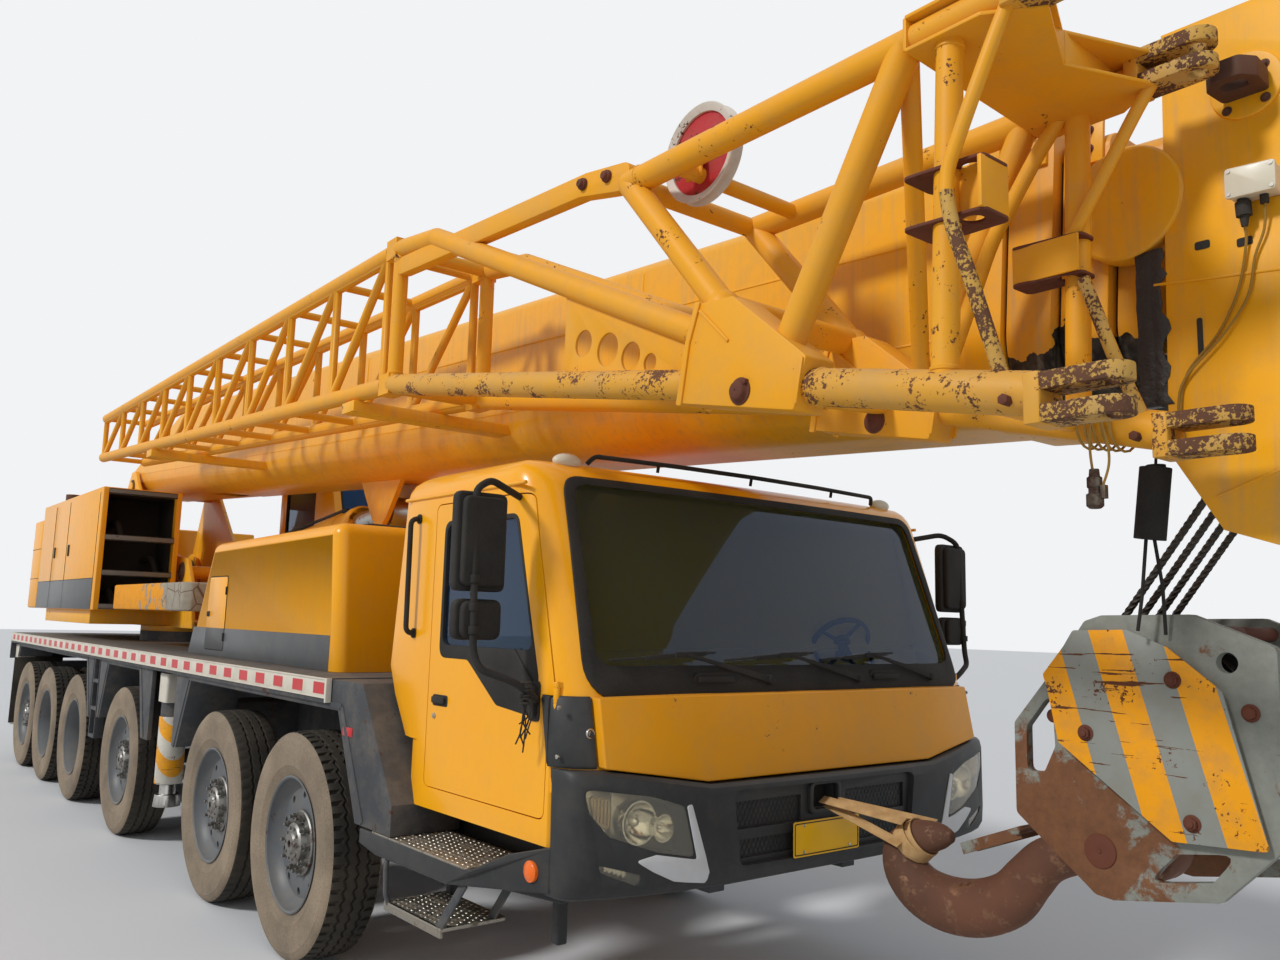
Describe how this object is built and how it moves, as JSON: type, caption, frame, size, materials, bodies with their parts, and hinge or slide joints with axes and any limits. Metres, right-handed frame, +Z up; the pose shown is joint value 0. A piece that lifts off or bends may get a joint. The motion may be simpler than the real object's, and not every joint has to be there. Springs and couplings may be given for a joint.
{
  "type": "mobile crane",
  "caption": "Six-axle truck-mounted telescopic crane with driving cab, slewing upper works, outriggers, side-stowed lattice jib and hook block.",
  "frame": {"origin": "on the ground under the middle of the whole crane's box", "axes": "+X forwards, +Y to the crane's left, +Z up"},
  "size_m": [15.4044, 3.48, 4.2043],
  "materials": {
    "yellow_paint": "gloss enamel, scuffed",
    "ochre_paint": "worn enamel with rust",
    "chassis_paint": "satin enamel, dusty",
    "block_paint": "worn enamel with stripes",
    "steel": "machined and greased",
    "barrel_paint": "gloss enamel",
    "cast_iron": "rusty casting",
    "tyre_rubber": "dusty rubber",
    "forged_steel": "greasy forging",
    "window_glass": "clear laminated glass",
    "lamp_lens": "clear moulded lens",
    "cab_trim": "moulded trim"
  },
  "bodies": {
    "carrier": {"carrier_frame": "chassis_paint", "deck": "chassis_paint", "axle_beams": "chassis_paint", "cab_shell": "yellow_paint", "cab_glass": "window_glass", "cab_interior": "cab_trim", "front_bumper": "chassis_paint", "cab_lamps": "lamp_lens", "engine_hood": "yellow_paint", "engine_block": "cast_iron"},
    "wheel_1_left": {"wheel_1_left": "tyre_rubber"},
    "knuckle_1_left": {"knuckle_1_left": "forged_steel"},
    "wheel_1_right": {"wheel_1_right": "tyre_rubber"},
    "knuckle_1_right": {"knuckle_1_right": "forged_steel"},
    "wheel_2_left": {"wheel_2_left": "tyre_rubber"},
    "knuckle_2_left": {"knuckle_2_left": "forged_steel"},
    "wheel_2_right": {"wheel_2_right": "tyre_rubber"},
    "knuckle_2_right": {"knuckle_2_right": "forged_steel"},
    "wheel_3_left": {"wheel_3_left": "tyre_rubber"},
    "knuckle_3_left": {"knuckle_3_left": "forged_steel"},
    "wheel_3_right": {"wheel_3_right": "tyre_rubber"},
    "knuckle_3_right": {"knuckle_3_right": "forged_steel"},
    "wheel_4_left": {"wheel_4_left": "tyre_rubber"},
    "wheel_4_right": {"wheel_4_right": "tyre_rubber"},
    "wheel_5_left": {"wheel_5_left": "tyre_rubber"},
    "wheel_5_right": {"wheel_5_right": "tyre_rubber"},
    "wheel_6_left": {"wheel_6_left": "tyre_rubber"},
    "knuckle_6_left": {"knuckle_6_left": "forged_steel"},
    "wheel_6_right": {"wheel_6_right": "tyre_rubber"},
    "knuckle_6_right": {"knuckle_6_right": "forged_steel"},
    "outrigger_beam_front_left": {"outrigger_beam_front_left": "chassis_paint"},
    "outrigger_jack_front_left": {"outrigger_jack_front_left": "steel"},
    "outrigger_beam_front_right": {"outrigger_beam_front_right": "chassis_paint"},
    "outrigger_jack_front_right": {"outrigger_jack_front_right": "steel"},
    "outrigger_beam_rear_left": {"outrigger_beam_rear_left": "chassis_paint"},
    "outrigger_jack_rear_left": {"outrigger_jack_rear_left": "steel"},
    "outrigger_beam_rear_right": {"outrigger_beam_rear_right": "chassis_paint"},
    "outrigger_jack_rear_right": {"outrigger_jack_rear_right": "steel"},
    "cab_door_left": {"cab_door_left": "yellow_paint"},
    "cab_door_right": {"cab_door_right": "yellow_paint"},
    "superstructure": {"turntable": "yellow_paint", "engine_house": "yellow_paint", "counterweight": "yellow_paint", "counterweight_slab": "block_paint", "winch": "steel", "operator_cab": "yellow_paint"},
    "operator_door": {"operator_cab_door": "yellow_paint"},
    "boom_base": {"boom_1": "yellow_paint", "jib_lattice": "ochre_paint", "jib_root": "ochre_paint"},
    "boom_2": {"boom_2": "yellow_paint"},
    "boom_3": {"boom_3": "yellow_paint"},
    "boom_4": {"boom_4": "yellow_paint"},
    "boom_head": {"boom_5": "yellow_paint", "head_sheaves": "cast_iron"},
    "luff_barrel": {"luff_barrel": "barrel_paint"},
    "luff_rod": {"luff_rod": "steel"},
    "hook_assembly": {"hook_block": "block_paint", "hoist_ropes": "steel"},
    "hook": {"hook": "cast_iron"}
  },
  "joints": [
    {"name": "steer_1_left", "type": "hinge", "parent": "carrier", "child": "knuckle_1_left", "pos_m": [2.4, 1.02, 0.613], "axis": [0, 0, 1], "range_deg": [-35, 35]},
    {"name": "spin_1_left", "type": "hinge", "parent": "knuckle_1_left", "child": "wheel_1_left", "pos_m": [2.4, 1.3125, 0.613], "axis": [0, 1, 0], "continuous": true},
    {"name": "steer_1_right", "type": "hinge", "parent": "carrier", "child": "knuckle_1_right", "pos_m": [2.4, -1.02, 0.613], "axis": [0, 0, 1], "range_deg": [-35, 35]},
    {"name": "spin_1_right", "type": "hinge", "parent": "knuckle_1_right", "child": "wheel_1_right", "pos_m": [2.4, -1.3125, 0.613], "axis": [0, 1, 0], "continuous": true},
    {"name": "steer_2_left", "type": "hinge", "parent": "carrier", "child": "knuckle_2_left", "pos_m": [0.97, 1.02, 0.613], "axis": [0, 0, 1], "range_deg": [-28.5, 28.5]},
    {"name": "spin_2_left", "type": "hinge", "parent": "knuckle_2_left", "child": "wheel_2_left", "pos_m": [0.97, 1.3125, 0.613], "axis": [0, 1, 0], "continuous": true},
    {"name": "steer_2_right", "type": "hinge", "parent": "carrier", "child": "knuckle_2_right", "pos_m": [0.97, -1.02, 0.613], "axis": [0, 0, 1], "range_deg": [-28.5, 28.5]},
    {"name": "spin_2_right", "type": "hinge", "parent": "knuckle_2_right", "child": "wheel_2_right", "pos_m": [0.97, -1.3125, 0.613], "axis": [0, 1, 0], "continuous": true},
    {"name": "steer_3_left", "type": "hinge", "parent": "carrier", "child": "knuckle_3_left", "pos_m": [-1.55, 1.02, 0.613], "axis": [0, 0, 1], "range_deg": [-16.2, 16.2]},
    {"name": "spin_3_left", "type": "hinge", "parent": "knuckle_3_left", "child": "wheel_3_left", "pos_m": [-1.55, 1.3125, 0.613], "axis": [0, 1, 0], "continuous": true},
    {"name": "steer_3_right", "type": "hinge", "parent": "carrier", "child": "knuckle_3_right", "pos_m": [-1.55, -1.02, 0.613], "axis": [0, 0, 1], "range_deg": [-16.2, 16.2]},
    {"name": "spin_3_right", "type": "hinge", "parent": "knuckle_3_right", "child": "wheel_3_right", "pos_m": [-1.55, -1.3125, 0.613], "axis": [0, 1, 0], "continuous": true},
    {"name": "spin_4_left", "type": "hinge", "parent": "carrier", "child": "wheel_4_left", "pos_m": [-3.5, 1.3125, 0.613], "axis": [0, 1, 0], "continuous": true},
    {"name": "spin_4_right", "type": "hinge", "parent": "carrier", "child": "wheel_4_right", "pos_m": [-3.5, -1.3125, 0.613], "axis": [0, 1, 0], "continuous": true},
    {"name": "spin_5_left", "type": "hinge", "parent": "carrier", "child": "wheel_5_left", "pos_m": [-4.96, 1.3125, 0.613], "axis": [0, 1, 0], "continuous": true},
    {"name": "spin_5_right", "type": "hinge", "parent": "carrier", "child": "wheel_5_right", "pos_m": [-4.96, -1.3125, 0.613], "axis": [0, 1, 0], "continuous": true},
    {"name": "steer_6_left", "type": "hinge", "parent": "carrier", "child": "knuckle_6_left", "pos_m": [-6.27, 1.02, 0.613], "axis": [0, 0, 1], "range_deg": [-14.5, 14.5]},
    {"name": "spin_6_left", "type": "hinge", "parent": "knuckle_6_left", "child": "wheel_6_left", "pos_m": [-6.27, 1.3125, 0.613], "axis": [0, 1, 0], "continuous": true},
    {"name": "steer_6_right", "type": "hinge", "parent": "carrier", "child": "knuckle_6_right", "pos_m": [-6.27, -1.02, 0.613], "axis": [0, 0, 1], "range_deg": [-14.5, 14.5]},
    {"name": "spin_6_right", "type": "hinge", "parent": "knuckle_6_right", "child": "wheel_6_right", "pos_m": [-6.27, -1.3125, 0.613], "axis": [0, 1, 0], "continuous": true},
    {"name": "extend_front_left", "type": "slide", "parent": "carrier", "child": "outrigger_beam_front_left", "axis": [0, 1, 0], "range_m": [0, 2.1]},
    {"name": "jack_front_left", "type": "slide", "parent": "outrigger_beam_front_left", "child": "outrigger_jack_front_left", "axis": [0, 0, -1], "range_m": [0, 0.6]},
    {"name": "extend_front_right", "type": "slide", "parent": "carrier", "child": "outrigger_beam_front_right", "axis": [0, -1, 0], "range_m": [0, 2.1]},
    {"name": "jack_front_right", "type": "slide", "parent": "outrigger_beam_front_right", "child": "outrigger_jack_front_right", "axis": [0, 0, -1], "range_m": [0, 0.6]},
    {"name": "extend_rear_left", "type": "slide", "parent": "carrier", "child": "outrigger_beam_rear_left", "axis": [0, 1, 0], "range_m": [0, 2.1]},
    {"name": "jack_rear_left", "type": "slide", "parent": "outrigger_beam_rear_left", "child": "outrigger_jack_rear_left", "axis": [0, 0, -1], "range_m": [0, 0.6]},
    {"name": "extend_rear_right", "type": "slide", "parent": "carrier", "child": "outrigger_beam_rear_right", "axis": [0, -1, 0], "range_m": [0, 2.1]},
    {"name": "jack_rear_right", "type": "slide", "parent": "outrigger_beam_rear_right", "child": "outrigger_jack_rear_right", "axis": [0, 0, -1], "range_m": [0, 0.6]},
    {"name": "door_left", "type": "hinge", "parent": "carrier", "child": "cab_door_left", "pos_m": [4.812, 1.345, 1.4], "axis": [0, 0, -1], "range_deg": [0, 70]},
    {"name": "door_right", "type": "hinge", "parent": "carrier", "child": "cab_door_right", "pos_m": [4.812, -1.345, 1.4], "axis": [0, 0, 1], "range_deg": [0, 70]},
    {"name": "slew", "type": "hinge", "parent": "carrier", "child": "superstructure", "pos_m": [-4.25, 0, 1.66], "axis": [0, 0, 1], "continuous": true},
    {"name": "operator_door", "type": "hinge", "parent": "superstructure", "child": "operator_door", "pos_m": [-3.8, 1.484, 2.9], "axis": [0, 0, 1], "range_deg": [0, 75]},
    {"name": "luff", "type": "hinge", "parent": "superstructure", "child": "boom_base", "pos_m": [-6.15, 0, 3.42], "axis": [0, -1, 0], "range_deg": [0, 80]},
    {"name": "telescope", "type": "slide", "parent": "boom_base", "child": "boom_2", "axis": [0.9986, 0, -0.0523], "range_m": [0, 8.3]},
    {"name": "telescope_3", "type": "slide", "parent": "boom_2", "child": "boom_3", "axis": [0.9986, 0, -0.0523], "range_m": [0, 8.3]},
    {"name": "telescope_4", "type": "slide", "parent": "boom_3", "child": "boom_4", "axis": [0.9986, 0, -0.0523], "range_m": [0, 8.3]},
    {"name": "telescope_head", "type": "slide", "parent": "boom_4", "child": "boom_head", "axis": [0.9986, 0, -0.0523], "range_m": [0, 8.3]},
    {"name": "cylinder_tilt", "type": "hinge", "parent": "superstructure", "child": "luff_barrel", "pos_m": [-3.6, 0, 2.3], "axis": [0, -1, 0], "range_deg": [0, 90]},
    {"name": "cylinder_stroke", "type": "slide", "parent": "luff_barrel", "child": "luff_rod", "axis": [0.9948, 0, 0.1019], "range_m": [0, 3.469]},
    {"name": "hook_hang", "type": "hinge", "parent": "boom_head", "child": "hook_assembly", "pos_m": [7.22792, 0, 2.41848], "axis": [0, -1, 0], "range_deg": [-46.5, 0]},
    {"name": "hook_swing", "type": "hinge", "parent": "hook_assembly", "child": "hook", "pos_m": [6.48, 0, 1.18], "axis": [0, -1, 0], "range_deg": [0, 40.5]}
  ],
  "couplings": [
    {"joint": "steer_1_right", "follows": "steer_1_left", "ratio": 1},
    {"joint": "steer_2_left", "follows": "steer_1_left", "ratio": 0.8},
    {"joint": "steer_2_right", "follows": "steer_1_left", "ratio": 0.8},
    {"joint": "steer_3_left", "follows": "steer_1_left", "ratio": 0.45},
    {"joint": "steer_3_right", "follows": "steer_1_left", "ratio": 0.45},
    {"joint": "steer_6_left", "follows": "steer_1_left", "ratio": -0.4},
    {"joint": "steer_6_right", "follows": "steer_1_left", "ratio": -0.4},
    {"joint": "telescope_3", "follows": "telescope", "ratio": 1},
    {"joint": "telescope_4", "follows": "telescope", "ratio": 1},
    {"joint": "telescope_head", "follows": "telescope", "ratio": 1},
    {"joint": "cylinder_tilt", "follows": "luff", "ratio": 1.1187},
    {"joint": "cylinder_stroke", "follows": "luff", "m_per_rad": 2.4773},
    {"joint": "hook_hang", "follows": "luff", "ratio": -0.575},
    {"joint": "hook_swing", "follows": "luff", "ratio": 0.5}
  ]
}
